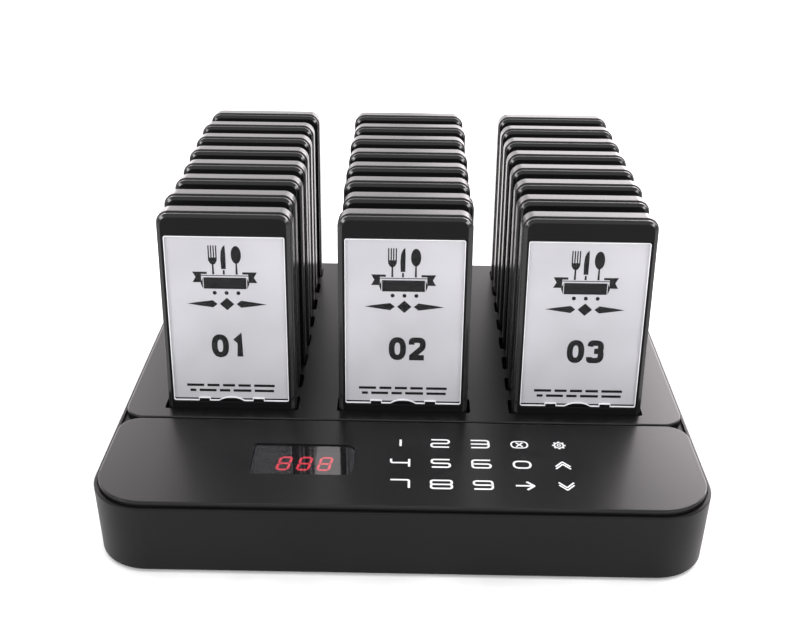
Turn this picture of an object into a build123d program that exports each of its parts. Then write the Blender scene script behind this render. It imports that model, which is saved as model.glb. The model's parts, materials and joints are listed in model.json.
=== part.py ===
"""Restaurant paging set: a charging base with a touch keypad, and the card-shaped pagers that stand in it.

Millimetres. The origin is the middle of the base on the table, +Z is up and the keypad faces -Y.
"""

import os
from math import atan, cos, degrees, radians, sin

from build123d import *

os.makedirs("parts", exist_ok=True)

# Base housing
base_width = 271.4
base_depth = 252.0
corner_radius = 25.0
foot_height = 1.5
rim_top = 34.5  # height of the rim above the table
wall_lean_in = 0.8  # how far the wall's bottom edge stands inside its top edge
wall = 2.4
rim_width = 1.6
recess_floor = 33.3  # the deck that both top panels lie on
deck = 2.3
cover_thickness = 2.4

# Top panels
panel_top = 37.0
panel_inset = 2.1  # from the base's outline to a panel's edge
groove_middle = 69.0  # behind the front edge
groove_width = 1.0
groove_corner_radius = 10.0
panel_edge_radius = 0.7

# Pagers and their slots
columns = 3
rows = 8
column_pitch = 83.0
row_pitch = 21.6
first_slot = 83.6  # middle of the front slots, behind the front edge
lean = radians(5)  # the pagers lean back
pager_width = 62.0
pager_height = 108.0
pager_insert = 10.5  # how much of a pager stands in its slot
pager_radius = 6.0
half_thickness = 6.0
seam = -2.9  # depth of the joint between the two shells, behind the middle plane
shell_wall = 1.6
shell_step = 0.7  # the front shell is this much smaller all round
face_chamfer = (1.6, 0.85)  # along the face and along the depth
back_rounding = 1.4
back_recess_size = (48.0, 66.0)  # shallow place for a label in the pager's back
back_recess_middle = 55.0
back_recess_radius = 3.0
back_recess_depth = 0.35
slot_width = 64.4
slot_thickness = 12.8
slot_floor_gap = 0.3

# Label bay in the pager's face, measured up from the pager's bottom
bay_bottom = 13.7
bay_top = 97.1
bay_width = 55.9
bay_depth = 1.7
card_size = (54.7, 81.3)
card_thickness = 0.35
window_size = (55.3, 82.9)
window_thickness = 1.15
window_gap = 0.05
thumb_notch = (12.2, 1.8)  # width and height
clip_offset = 13.0
clip_notch = (5.0, 1.3)

# Sideways play of each pager in its slot, front row first
play = [
    [0.2, -0.4, 0.6, 0.6, -0.3, -0.5, -0.8, 0.7],
    [-0.3, 0.8, 0.0, 0.0, 0.2, -0.2, 0.7, 0.0],
    [0.55, 0.2, 0.7, 0.4, 0.0, 0.0, -0.3, -0.6],
]

# Display and keypad, in the base's own frame
display_middle = (-44.4, -89.9)
display_window_size = (45.8, 23.5)
display_corner_radii = (1.0, 5.0)  # at the left and at the right end
display_ledge = 1.9
display_window_top = 36.4
display_window_thickness = 1.6
display_module_size = (34.0, 17.0)
display_module_top = 34.2
key_columns = 5
key_rows = 3
key_middle = (35.4, -91.6)
key_pitch = (18.2, 16.0)
touch_board_size = (158.0, 44.0)
touch_board_middle = (7.5, -91.0)
touch_board_bottom = 25.0
board_thickness = 1.6
key_opening_size = (146.0, 44.0)

# Slot trays and charging contacts
tray_wall = 2.0
tray_bottom = 23.5
tray_ear = (20.0, 5.0, 1.5)
contact_offset = 12.0
pin_radius = 1.1
pin_top = 26.2

# Main board and what stands on it
main_board_size = (130.0, 42.0)
main_board_middle = (40.0, -92.0)
main_board_bottom = 10.0

# Power inlet in the rear wall
inlet_x = -100.0
inlet_z = 12.0
inlet_radius = 4.0
inlet_bore = 3.2

# Fasteners
cover_screw_radius = 1.4
board_screw_radius = 1.0
screw_play = 0.1

# Worked out from the above
front = -base_depth / 2
wall_bottom = foot_height
wall_height = rim_top - wall_bottom
taper = degrees(atan(wall_lean_in / wall_height))
cover_top = wall_bottom + cover_thickness
deck_bottom = recess_floor - deck
panel_thickness = panel_top - recess_floor
slot_row_middle = front + first_slot + row_pitch * (rows - 1) / 2
tray_size = (
    slot_width + 2 * tray_wall,
    row_pitch * (rows - 1) + slot_thickness + 3.2 * tray_wall,
)
tray_middle_y = slot_row_middle - pager_insert * sin(lean) / 2


def grid(count, pitch):
    """Offsets of evenly spaced places about the middle."""
    return [(i - (count - 1) / 2) * pitch for i in range(count)]


column_x = grid(columns, column_pitch)
cover_screw_places = [
    *[(x, y) for x in (-124, 124) for y in (-109, 15, 109)],
    *[(x, y) for x in (-41.5, 41.5) for y in (-118.5, 40)],
]
foot_places = [(x, y) for x in (-112, 112) for y in (-96, 96)]
touch_screw_places = [
    (touch_board_middle[0] + x, touch_board_middle[1] + y) for x in (-76, 76) for y in (-18, 18)
]
main_screw_places = [
    (main_board_middle[0] + x, main_board_middle[1] + y) for x in (-61, 61) for y in (-17, 17)
]
tray_screw_places = [
    (x, tray_middle_y + side * (tray_size[1] / 2 + tray_ear[1] / 2)) for x in column_x for side in (-1, 1)
]
charge_screw_places = [
    (x, slot_row_middle + side * row_pitch * 3) for x in column_x for side in (-1, 1)
]


def seat(column, row, sideways=0.0):
    """The plane across a slot's mouth: its Z runs up the pager, its X across it and its Y out of its back."""
    middle = (column_x[column] + sideways, front + first_slot + row * row_pitch, panel_top)
    return Plane(origin=middle, x_dir=(1, 0, 0), z_dir=(0, sin(lean), cos(lean)))


def facing(home, depth):
    """A plane parallel to a pager's face, this far behind its middle plane, with its Z towards the reader."""
    return Plane(origin=home.from_local_coords((0, depth, 0)), x_dir=home.x_dir, z_dir=-home.y_dir)


def save(piece, name):
    piece.part.label = name
    export_step(piece.part, f"parts/{name}.step")


# ---------------------------------------------------------------- base: housing and cover

with BuildPart() as upper_housing:
    with BuildSketch(Plane.XY.offset(rim_top)):
        RectangleRounded(base_width, base_depth, corner_radius)
    extrude(amount=-wall_height, taper=taper)
    fillet(upper_housing.faces().sort_by(Axis.Z)[-1].edges(), 0.7)
    fillet(upper_housing.faces().sort_by(Axis.Z)[0].edges(), 1.0)
    # the recess that the panels lie in
    with BuildSketch(Plane.XY.offset(recess_floor)):
        RectangleRounded(base_width - 2 * rim_width, base_depth - 2 * rim_width, corner_radius - rim_width)
    extrude(amount=rim_top - recess_floor, mode=Mode.SUBTRACT)
    # the hollow below the deck
    with BuildSketch(Plane.XY.offset(deck_bottom)):
        RectangleRounded(base_width - 2 * wall, base_depth - 2 * wall, corner_radius - wall)
    extrude(amount=-(deck_bottom - wall_bottom), taper=taper, mode=Mode.SUBTRACT)
    # posts for the cover's screws and for the touch board
    with BuildSketch(Plane.XY.offset(cover_top)):
        with Locations(*cover_screw_places):
            Circle(4.0)
    extrude(amount=deck_bottom - cover_top)
    with BuildSketch(Plane.XY.offset(touch_board_bottom + board_thickness)):
        with Locations(*touch_screw_places):
            Circle(2.8)
    extrude(amount=deck_bottom - touch_board_bottom - board_thickness)
    # openings in the deck for the slot trays, the display and the touch springs
    with BuildSketch(Plane.XY.offset(deck_bottom)):
        with Locations(*[(x, tray_middle_y) for x in column_x]):
            Rectangle(tray_size[0] + 0.6, tray_size[1] + 0.6)
        with Locations(touch_board_middle):
            RectangleRounded(*key_opening_size, 2)
    extrude(amount=deck, mode=Mode.SUBTRACT)
    # screw holes
    with BuildSketch(Plane.XY.offset(cover_top)):
        with Locations(*cover_screw_places):
            Circle(cover_screw_radius + screw_play)
    extrude(amount=12.0, mode=Mode.SUBTRACT)
    with BuildSketch(Plane.XY.offset(touch_board_bottom + board_thickness)):
        with Locations(*touch_screw_places):
            Circle(board_screw_radius + screw_play)
    extrude(amount=3.8, mode=Mode.SUBTRACT)
    with BuildSketch(Plane.XY.offset(deck_bottom)):
        with Locations(*tray_screw_places):
            Circle(board_screw_radius + screw_play)
    extrude(amount=1.7, mode=Mode.SUBTRACT)
    # the power inlet's hole
    with BuildSketch(Plane.XZ.offset(front)):
        with Locations((inlet_x, inlet_z)):
            Circle(inlet_radius + 0.25)
    extrude(amount=4 * wall, mode=Mode.SUBTRACT)
save(upper_housing, "upper_housing")

with BuildPart() as bottom_cover:
    cover_inset = 2 * (wall + wall_lean_in + 0.3)
    with BuildSketch(Plane.XY.offset(wall_bottom)):
        RectangleRounded(
            base_width - cover_inset, base_depth - cover_inset, corner_radius - cover_inset / 2
        )
    extrude(amount=cover_thickness)
    # standoffs for the main board and a block under the inlet
    with BuildSketch(Plane.XY.offset(cover_top)):
        with Locations(*main_screw_places):
            Circle(3.0)
    extrude(amount=main_board_bottom - cover_top)
    with BuildSketch(Plane.XY.offset(cover_top)):
        with Locations((inlet_x, 116.0)):
            Rectangle(9.5, 11.0)
    extrude(amount=inlet_z - 5.5 - cover_top)
    # screw holes with sunk heads
    with Locations(*[(x, y, wall_bottom) for x, y in cover_screw_places]):
        with Locations(Rotation(180, 0, 0)):
            CounterBoreHole(cover_screw_radius + screw_play, 3.1, 1.3, depth=cover_thickness)
    with BuildSketch(Plane.XY.offset(main_board_bottom)):
        with Locations(*main_screw_places):
            Circle(board_screw_radius + screw_play)
    extrude(amount=-5.0, mode=Mode.SUBTRACT)
    # cooling slots under the charging boards
    with BuildSketch(Plane.XY.offset(wall_bottom)):
        with Locations(*[(x, y) for x in column_x for y in grid(9, 7.0)]):
            SlotOverall(38, 2.4)
    extrude(amount=cover_thickness, mode=Mode.SUBTRACT)
save(bottom_cover, "bottom_cover")

with BuildPart() as feet:
    with BuildSketch():
        with Locations(*foot_places):
            Circle(8.0)
    extrude(amount=foot_height)
    chamfer(feet.faces().filter_by(Plane.XY).group_by(Axis.Z)[0].edges(), 0.4)
save(feet, "rubber_feet")

# ---------------------------------------------------------------- base: top panels and display

panel_width = base_width - 2 * panel_inset
keypad_front = front + panel_inset
keypad_back = front + groove_middle - groove_width / 2
dock_front = front + groove_middle + groove_width / 2
dock_back = -front - panel_inset
panel_corner_radius = corner_radius - panel_inset


def display_outline(margin):
    """The display window's outline at its ledge, grown by the margin, with its right end well rounded."""
    with BuildSketch(Plane.XY.offset(display_window_top - display_window_thickness)) as outline:
        with Locations(display_middle):
            Rectangle(display_window_size[0] + 2 * margin, display_window_size[1] + 2 * margin)
        fillet(outline.vertices().group_by(Axis.X)[-1], display_corner_radii[1] + margin)
        fillet(outline.vertices().group_by(Axis.X)[0], display_corner_radii[0] + margin)
    return outline.sketch


with BuildPart() as keypad_panel:
    with BuildSketch(Plane.XY.offset(recess_floor)) as keypad_outline:
        with Locations((0, (keypad_front + keypad_back) / 2)):
            Rectangle(panel_width, keypad_back - keypad_front)
        fillet(keypad_outline.vertices().group_by(Axis.Y)[-1], groove_corner_radius)
        fillet(keypad_outline.vertices().group_by(Axis.Y)[0], panel_corner_radius)
    extrude(amount=panel_thickness)
    fillet(keypad_panel.faces().sort_by(Axis.Z)[-1].edges(), panel_edge_radius)
    extrude(display_outline(margin=0.2), amount=panel_thickness, mode=Mode.SUBTRACT)
    with BuildSketch(Plane.XY.offset(recess_floor)):
        with Locations(display_middle):
            Rectangle(
                display_window_size[0] - 2 * display_ledge, display_window_size[1] - 2 * display_ledge
            )
    extrude(amount=panel_thickness, mode=Mode.SUBTRACT)
save(keypad_panel, "keypad_panel")

with BuildPart() as display_window:
    extrude(display_outline(margin=0.0), amount=display_window_thickness)
save(display_window, "display_window")

with BuildPart() as display_module:
    with BuildSketch(Plane.XY.offset(touch_board_bottom + board_thickness)):
        with Locations(display_middle):
            Rectangle(*display_module_size)
    extrude(amount=display_module_top - touch_board_bottom - board_thickness)
save(display_module, "display_module")

with BuildPart() as dock_panel:
    with BuildSketch(Plane.XY.offset(recess_floor)) as dock_outline:
        with Locations((0, (dock_front + dock_back) / 2)):
            Rectangle(panel_width, dock_back - dock_front)
        fillet(dock_outline.vertices().group_by(Axis.Y)[-1], panel_corner_radius)
        fillet(dock_outline.vertices().group_by(Axis.Y)[0], groove_corner_radius)
    extrude(amount=panel_thickness)
    fillet(dock_panel.faces().sort_by(Axis.Z)[-1].edges(), panel_edge_radius)
    for column in range(columns):
        for row in range(rows):
            with BuildSketch(seat(column, row).offset(-pager_insert)):
                RectangleRounded(slot_width, slot_thickness, 1.2)
            extrude(amount=2 * pager_insert, mode=Mode.SUBTRACT)
save(dock_panel, "dock_panel")

# ---------------------------------------------------------------- base: touch keypad electronics

with BuildPart() as touch_board:
    with BuildSketch(Plane.XY.offset(touch_board_bottom)):
        with Locations(touch_board_middle):
            Rectangle(*touch_board_size)
        with Locations(*touch_screw_places):
            Circle(board_screw_radius + 2 * screw_play, mode=Mode.SUBTRACT)
    extrude(amount=board_thickness)
save(touch_board, "touch_board")

with BuildPart() as touch_springs:
    with BuildSketch(Plane.XY.offset(touch_board_bottom + board_thickness)):
        key_places = [
            (key_middle[0] + x, key_middle[1] + y)
            for x in grid(key_columns, key_pitch[0])
            for y in grid(key_rows, key_pitch[1])
        ]
        with Locations(*key_places):
            Circle(4.0)
            Circle(3.2, mode=Mode.SUBTRACT)
    extrude(amount=recess_floor - touch_board_bottom - board_thickness)
save(touch_springs, "touch_springs")

# ---------------------------------------------------------------- base: main board, radio and power

with BuildPart() as main_board:
    board_top = main_board_bottom + board_thickness
    with BuildSketch(Plane.XY.offset(main_board_bottom)):
        with Locations(main_board_middle):
            Rectangle(*main_board_size)
        with Locations(*main_screw_places):
            Circle(board_screw_radius + 2 * screw_play, mode=Mode.SUBTRACT)
    extrude(amount=board_thickness)
    # processor, driver chips and the smoothing capacitors
    with BuildSketch(Plane.XY.offset(board_top)):
        with Locations((30, -95), (52, -84), (52, -102)):
            Rectangle(10, 10)
    extrude(amount=1.4)
    with BuildSketch(Plane.XY.offset(board_top)):
        with Locations((-4, -86), (8, -86)):
            Circle(4.0)
    extrude(amount=9.0)
save(main_board, "main_board")

with BuildPart() as radio_module:
    with BuildSketch(Plane.XY.offset(board_top)):
        with Locations((78, -92)):
            Rectangle(20, 16)
    extrude(amount=2.6)
save(radio_module, "radio_module")

with BuildPart() as antenna:
    with BuildSketch(Plane.XY.offset(board_top)):
        with Locations((96, -90)):
            Circle(2.6)
            Circle(1.8, mode=Mode.SUBTRACT)
    extrude(amount=15.0)
save(antenna, "antenna")

with BuildPart() as buzzer:
    with BuildSketch(Plane.XY.offset(board_top)):
        with Locations((-6, -102)):
            Circle(6.0)
    extrude(amount=8.0)
    with BuildSketch(Plane.XY.offset(board_top + 8.0)):
        with Locations((-6, -102)):
            Circle(1.2)
    extrude(amount=-2.0, mode=Mode.SUBTRACT)
save(buzzer, "buzzer")

with BuildPart() as power_inlet:
    inlet_face = Plane(origin=(inlet_x, 122.2, inlet_z), x_dir=(-1, 0, 0), z_dir=(0, 1, 0))
    with BuildSketch(inlet_face):
        Rectangle(9.0, 11.0)
    extrude(amount=-12.0)
    with BuildSketch(inlet_face):
        Circle(inlet_radius)
    extrude(amount=2.9)
    with BuildSketch(inlet_face.offset(2.9)):
        Circle(inlet_bore)
    extrude(amount=-10.0, mode=Mode.SUBTRACT)
    with BuildSketch(inlet_face.offset(-7.5)):
        Circle(1.05)
    extrude(amount=9.0)
save(power_inlet, "power_inlet")

# ---------------------------------------------------------------- base: slot trays and charging contacts

pin_places = [
    (x + side * contact_offset, front + first_slot + row * row_pitch - pager_insert * sin(lean))
    for x in column_x
    for row in range(rows)
    for side in (-1, 1)
]

for column, name in enumerate(("left", "centre", "right")):
    with BuildPart() as slot_tray:
        with BuildSketch(Plane.XY.offset(tray_bottom)):
            with Locations((column_x[column], tray_middle_y)):
                Rectangle(*tray_size)
        extrude(amount=recess_floor - tray_bottom)
        with BuildSketch(Plane.XY.offset(deck_bottom)):
            with Locations(*tray_screw_places[2 * column : 2 * column + 2]):
                Rectangle(tray_ear[0], tray_ear[1])
        extrude(amount=-tray_ear[2])
        for row in range(rows):
            with BuildSketch(seat(column, row).offset(-pager_insert - slot_floor_gap)):
                RectangleRounded(slot_width, slot_thickness, 1.2)
            extrude(amount=2 * pager_insert, mode=Mode.SUBTRACT)
        with BuildSketch(Plane.XY.offset(tray_bottom)):
            with Locations(*pin_places[2 * rows * column : 2 * rows * (column + 1)]):
                Circle(pin_radius + 0.2)
        extrude(amount=4.0, mode=Mode.SUBTRACT)
        with BuildSketch(Plane.XY.offset(tray_bottom)):
            with Locations(*charge_screw_places[2 * column : 2 * column + 2]):
                Circle(board_screw_radius + screw_play)
        extrude(amount=5.5, mode=Mode.SUBTRACT)
        with BuildSketch(Plane.XY.offset(deck_bottom)):
            with Locations(*tray_screw_places[2 * column : 2 * column + 2]):
                Circle(board_screw_radius + 2 * screw_play)
        extrude(amount=-tray_ear[2], mode=Mode.SUBTRACT)
    save(slot_tray, f"slot_tray_{name}")

with BuildPart() as charge_boards:
    with BuildSketch(Plane.XY.offset(tray_bottom)):
        with Locations(*[(x, tray_middle_y) for x in column_x]):
            Rectangle(tray_size[0] - 4, tray_size[1] - 4)
        with Locations(*charge_screw_places):
            Circle(board_screw_radius + 2 * screw_play, mode=Mode.SUBTRACT)
    extrude(amount=-board_thickness)
save(charge_boards, "charge_boards")

with BuildPart() as charge_pins:
    with BuildSketch(Plane.XY.offset(tray_bottom)):
        with Locations(*pin_places):
            Circle(pin_radius)
    extrude(amount=pin_top - tray_bottom - 0.8)
    with BuildSketch(Plane.XY.offset(pin_top - 0.8)):
        with Locations(*pin_places):
            Circle(0.7)
    extrude(amount=0.8)
save(charge_pins, "charge_pins")

# ---------------------------------------------------------------- base: screws

with BuildPart() as cover_screws:
    with BuildSketch(Plane.XY.offset(wall_bottom + 0.2)):
        with Locations(*cover_screw_places):
            Circle(2.8)
    extrude(amount=1.1)
    with BuildSketch(Plane.XY.offset(wall_bottom + 1.3)):
        with Locations(*cover_screw_places):
            Circle(cover_screw_radius)
    extrude(amount=11.5)
    with BuildSketch(Plane.XY.offset(wall_bottom + 0.2)):
        for angle in (0, 90):
            with Locations(*cover_screw_places):
                Rectangle(3.0, 0.7, rotation=angle)
    extrude(amount=0.6, mode=Mode.SUBTRACT)
save(cover_screws, "cover_screws")

# each board screw: its places, the height of its seat, and which way its shank points
board_screw_sets = [
    (touch_screw_places, touch_board_bottom, 1),
    (tray_screw_places, deck_bottom - tray_ear[2], 1),
    (charge_screw_places, tray_bottom - board_thickness, 1),
    (main_screw_places, main_board_bottom + board_thickness, -1),
]
board_screw_lengths = [5.0, 3.0, 6.0, 6.0]

with BuildPart() as board_screws:
    for (places, height, way), length in zip(board_screw_sets, board_screw_lengths):
        with BuildSketch(Plane.XY.offset(height)):
            with Locations(*places):
                Circle(2.0)
        extrude(amount=-1.2 * way)
        with BuildSketch(Plane.XY.offset(height)):
            with Locations(*places):
                Circle(board_screw_radius)
        extrude(amount=length * way)
save(board_screws, "board_screws")

# ---------------------------------------------------------------- pagers


def rear_shell(home):
    """The deep shell: recessed back, side walls, and two holes in the bottom for the charging contacts."""
    across_depth = Axis(home.origin, home.y_dir)
    with BuildPart() as shell:
        with BuildSketch(facing(home, half_thickness)):
            with Locations((0, pager_height / 2)):
                RectangleRounded(pager_width, pager_height, pager_radius)
        extrude(amount=half_thickness - seam)
        fillet(shell.faces().sort_by(across_depth)[-1].edges(), back_rounding)
        with BuildSketch(facing(home, half_thickness)):
            with Locations((0, back_recess_middle)):
                RectangleRounded(*back_recess_size, back_recess_radius)
        extrude(amount=back_recess_depth, mode=Mode.SUBTRACT)
        with BuildSketch(facing(home, half_thickness - shell_wall)):
            with Locations((0, pager_height / 2)):
                RectangleRounded(
                    pager_width - 2 * shell_wall, pager_height - 2 * shell_wall, pager_radius - shell_wall
                )
        extrude(amount=half_thickness - shell_wall - seam, mode=Mode.SUBTRACT)
        with BuildSketch(home):
            with Locations((-contact_offset, 0), (contact_offset, 0)):
                Rectangle(7.0, 3.4)
        extrude(amount=shell_wall, mode=Mode.SUBTRACT)
    return shell


def front_shell(home):
    """The shallow shell: face with the label bay, two clips, and a lip that locates in the rear shell."""
    across_depth = Axis(home.origin, home.y_dir)
    width = pager_width - 2 * shell_step
    height = pager_height - 2 * shell_step
    with BuildPart() as shell:
        with BuildSketch(facing(home, seam)):
            with Locations((0, pager_height / 2)):
                RectangleRounded(width, height, pager_radius - shell_step)
        extrude(amount=seam + half_thickness)
        face = shell.faces().sort_by(across_depth)[0]
        chamfer(face.edges(), face_chamfer[0], face_chamfer[1], reference=face)
        with BuildSketch(facing(home, -half_thickness)):
            with Locations((0, (bay_bottom + bay_top) / 2)):
                RectangleRounded(bay_width, bay_top - bay_bottom, 0.8)
        extrude(amount=-bay_depth, mode=Mode.SUBTRACT)
        with BuildSketch(facing(home, bay_depth - half_thickness)):
            with Locations((-clip_offset, bay_bottom + 0.6), (clip_offset, bay_bottom + 0.6)):
                Rectangle(clip_notch[0] - 1.4, 1.2)
        extrude(amount=bay_depth - 0.3)
        with BuildSketch(facing(home, seam)):
            with Locations((0, pager_height / 2)):
                RectangleRounded(pager_width - 3.8, pager_height - 3.8, pager_radius - 1.9)
                RectangleRounded(
                    pager_width - 6.4, pager_height - 6.4, pager_radius - 3.2, mode=Mode.SUBTRACT
                )
        extrude(amount=-1.5)
    return shell


def label_card(home):
    with BuildPart() as card:
        with BuildSketch(facing(home, bay_depth - half_thickness)):
            with Locations((0, (bay_bottom + bay_top) / 2 + 0.3)):
                Rectangle(*card_size)
        extrude(amount=card_thickness)
    return card


def label_window(home):
    """The clear cover over the card, with a thumb notch and two clip notches in its bottom edge."""
    edge = (bay_bottom + bay_top - window_size[1]) / 2
    notch_radius = (thumb_notch[0] ** 2 / 4 + thumb_notch[1] ** 2) / (2 * thumb_notch[1])
    back = bay_depth - card_thickness - window_gap - half_thickness
    with BuildPart() as window:
        with BuildSketch(facing(home, back)):
            with Locations((0, edge + window_size[1] / 2)):
                RectangleRounded(*window_size, 0.6)
            with Locations((0, edge + thumb_notch[1] - notch_radius)):
                Circle(notch_radius, mode=Mode.SUBTRACT)
            with Locations((-clip_offset, edge), (clip_offset, edge)):
                Rectangle(clip_notch[0], 2 * clip_notch[1], mode=Mode.SUBTRACT)
        extrude(amount=window_thickness)
    return window


def circuit_board(home):
    """The board with its radio chip, processor and row of lamps on the back."""
    with BuildPart() as board:
        with BuildSketch(facing(home, -0.1)):
            with Locations((0, 54)):
                Rectangle(54, 92)
        extrude(amount=1.0)
        with BuildSketch(facing(home, -0.1)):
            with Locations((12, 82), (-16, 20)):
                Rectangle(8, 8)
            with Locations(*[(x, 95) for x in grid(4, 12.0)]):
                Rectangle(3.5, 2.8)
        extrude(amount=-1.2)
    return board


def battery(home):
    with BuildPart() as cell:
        with BuildSketch(facing(home, 4.0)):
            with Locations((6, 46)):
                RectangleRounded(34, 48, 2)
        extrude(amount=3.8)
    return cell


def vibration_motor(home):
    with BuildPart() as motor:
        with BuildSketch(facing(home, 3.2)):
            with Locations((-18, 84)):
                Circle(5.0)
        extrude(amount=3.0)
    return motor


def charging_contacts(home):
    """Two plated contacts that show in the pager's bottom, each with a flange inside the shell."""
    with BuildPart() as contacts:
        with BuildSketch(home.offset(0.3)):
            with Locations((-contact_offset, 0), (contact_offset, 0)):
                Rectangle(6.4, 2.8)
        extrude(amount=shell_wall - 0.3)
        with BuildSketch(home.offset(shell_wall)):
            with Locations((-contact_offset, 0), (contact_offset, 0)):
                Rectangle(9.0, 2.6)
        extrude(amount=0.5)
    return contacts


casing = {
    "rear_shell": rear_shell,
    "front_shell": front_shell,
    "label_card": label_card,
    "label_window": label_window,
}
works = {
    "circuit_board": circuit_board,
    "battery": battery,
    "vibration_motor": vibration_motor,
    "charging_contacts": charging_contacts,
}


def save_group(pieces, name):
    """Several pieces of one pager as separate solids in one node."""
    group = Compound(children=[solid for piece in pieces for solid in piece.part.solids()], label=name)
    export_step(group, f"parts/{name}.step")


for row in range(rows):
    for column in range(columns):
        number = row * columns + column + 1
        pager = f"pager_{number:02d}"
        home = seat(column, row, play[column][row]).offset(-pager_insert)
        if number == 1:
            # the first pager is taken apart down to its last piece
            for name, make in {**casing, **works}.items():
                save(make(home), f"{pager}_{name}")
        elif row == 0:
            # the rest of the front row: casing pieces apart, electronics together
            for name, make in casing.items():
                save(make(home), f"{pager}_{name}")
            save_group([make(home) for make in works.values()], f"{pager}_electronics")
        else:
            save_group([make(home) for make in {**casing, **works}.values()], pager)
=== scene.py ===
"""Restaurant paging set: a charging base and the card-shaped pagers in it, finished for the studio.

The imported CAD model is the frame. The base keeps its CAD solids and gets finishes, key legends and
lit digits. Every pager gets shells, a printed card and a clear window that are modelled here, in the
pager's own frame. The object's sizes are in millimetres until a mesh is made, the studio's in metres.
"""

import json
from math import atan2, cos, pi, radians, sin

import bmesh
import bpy
from mathutils import Matrix, Vector


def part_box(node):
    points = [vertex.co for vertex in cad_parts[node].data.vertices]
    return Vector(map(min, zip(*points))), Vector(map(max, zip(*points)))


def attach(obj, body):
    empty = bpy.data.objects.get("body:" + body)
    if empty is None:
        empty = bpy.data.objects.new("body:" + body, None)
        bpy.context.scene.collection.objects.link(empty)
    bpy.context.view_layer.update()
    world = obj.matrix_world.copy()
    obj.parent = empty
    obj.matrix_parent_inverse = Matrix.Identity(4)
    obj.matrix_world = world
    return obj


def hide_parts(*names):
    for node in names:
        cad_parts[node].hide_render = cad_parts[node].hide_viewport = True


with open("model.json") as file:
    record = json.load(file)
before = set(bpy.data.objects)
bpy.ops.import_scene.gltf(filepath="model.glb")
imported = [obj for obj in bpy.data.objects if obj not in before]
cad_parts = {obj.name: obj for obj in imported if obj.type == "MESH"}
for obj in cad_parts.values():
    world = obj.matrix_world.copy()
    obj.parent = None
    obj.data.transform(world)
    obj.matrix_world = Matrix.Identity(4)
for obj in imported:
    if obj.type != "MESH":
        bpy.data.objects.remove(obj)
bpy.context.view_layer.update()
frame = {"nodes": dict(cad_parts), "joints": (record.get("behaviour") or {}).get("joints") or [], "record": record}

MM = 0.001
nodes = frame["nodes"]

PAGERS = [f"pager_{number:02d}" for number in range(1, 25)]
FRONT_ROW = PAGERS[:3]  # their shells, cards and windows are separate CAD nodes

# Camera
CAMERA_PLACE = (0.00199, -0.5045, 0.32146)
CAMERA_HEADING = radians(0.5225)
CAMERA_PITCH = radians(27.35)
CAMERA_ROLL = radians(0.677)
CAMERA_LENS = 50.0
SENSOR_WIDTH = 36.0

# Studio
WHITE = (1.0, 1.0, 1.0)
PINK = (1.0, 0.925, 0.95)
WORLD_COLOUR = (1.0, 0.995, 0.995, 1.0)
WORLD_STRENGTH = 1.01
LIGHT_TARGET = (0.0, 0.0, 0.06)
# name, place, width and height, watts and colour of each light
LIGHTS = (
    ("light_behind_right", (1.15, 1.5, 0.75), (1.3, 1.0), 45.0, PINK),
    ("light_behind_left", (-1.2, 1.6, 0.7), (1.2, 0.9), 19.0, (1.0, 0.91, 0.945)),
    ("strip_right", (0.73, 1.8, 0.48), (1.5, 0.7), 7.5, PINK),
    ("strip_left", (-0.73, 1.8, 0.48), (1.5, 0.7), 3.4, PINK),
    ("strip_high", (0.0, 1.6, 1.26), (1.8, 0.35), 2.4, PINK),
    ("light_left", (-1.8, 0.75, 0.4), (0.9, 0.9), 6.0, (1.0, 0.97, 0.98)),
    ("light_right", (1.8, 0.75, 0.4), (0.9, 0.9), 6.0, PINK),
    ("light_front_left", (-1.45, -1.3, 0.88), (0.7, 0.5), 14.0, WHITE),
    ("light_front_right", (1.4, -1.4, 0.88), (0.7, 0.5), 14.0, WHITE),
    ("light_above", (0.0, -0.3, 2.2), (2.0, 1.6), 17.0, WHITE),
)
FLOOR_HALF = 6.0

# Pager casing
PAGER_RADIUS = 6.0
BACK_ROUNDING = 1.4
ROUNDING_STEPS = 7
SHELL_WALL = 1.6
RIM_EASE = 0.35  # the rear shell's edge beside the seam is eased by this much
RIM_EASE_MIDDLE = 0.1
SHELL_STEP = 0.7  # the front shell is this much smaller all round
FACE_CHAMFER = (1.6, 0.85)  # along the face and along the depth
BAY_RADIUS = 0.8
BAY_DEPTH = 1.7
BAY_EDGE_EASE = 0.25
CONTACT_OFFSET = 12.0
CONTACT_SIZE = (6.4, 2.8)
CONTACT_FLOOR = 0.3
CONTACT_HOLE = (7.0, 3.4)
CONTACT_HOLE_HEIGHTS = (-1.0, 3.0)
CLIP_OFFSET = 13.0
CLIP_NOTCH = (5.0, 1.3)
CLIP_HEIGHT = 1.2
CLIP_PLAY = 0.7  # between a clip and each side of its notch
THUMB_NOTCH = (12.2, 1.8)
THUMB_STEPS = 6
WINDOW_PLAY = 0.3  # between the window's edge and the bay's wall
WINDOW_EASE = 0.6
WINDOW_BEVEL = 0.3
CORNER_STEPS = 10
SHARP_ANGLE = radians(35.0)  # edges that turn further than this are shown sharp
BACK_RECESS = (-24.0, 22.0, 24.0, 88.0)  # left, bottom, right and top of the label recess in the back
BACK_RECESS_RADIUS = 3.0
BACK_RECESS_DEPTH = 0.35
BACK_RECESS_EASE = 0.2

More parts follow.
